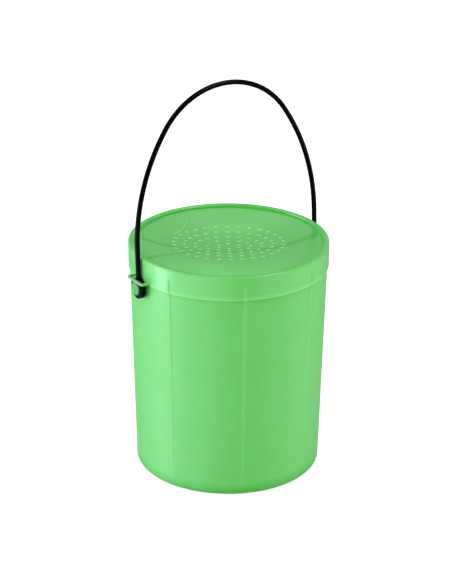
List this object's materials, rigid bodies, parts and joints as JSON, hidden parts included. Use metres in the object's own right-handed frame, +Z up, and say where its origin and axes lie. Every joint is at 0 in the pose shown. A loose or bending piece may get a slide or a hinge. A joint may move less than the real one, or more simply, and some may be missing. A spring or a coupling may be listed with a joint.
{
  "type": "aerated bait bucket",
  "caption": "Tapered translucent pail with a push-on lid full of air holes and a one-piece bail handle whose legs pass through loops on the lid.",
  "frame": {"origin": "on the ground, at the middle of the pail's foot", "axes": "+Z up along the pail's axis, +X along the handle's pivot axis"},
  "size_m": [0.1632, 0.1502, 0.3006],
  "materials": {
    "pail_plastic": "translucent green polyethylene, moulded, satin",
    "lid_plastic": "translucent green polyethylene, moulded, satin",
    "handle_plastic": "black moulded plastic, glossy"
  },
  "bodies": {
    "pail": {"bucket": "pail_plastic"},
    "lid": {"lid": "lid_plastic"},
    "handle": {"handle": "handle_plastic"}
  },
  "joints": [
    {"name": "lid_lift", "type": "slide", "parent": "pail", "child": "lid", "axis": [0, 0, 1], "range_m": [0, 0.018]},
    {"name": "handle_swing", "type": "hinge", "parent": "pail", "child": "handle", "pos_m": [0, 0, 0.1565], "axis": [1, 0, 0], "range_deg": [-12, 17.8]}
  ]
}
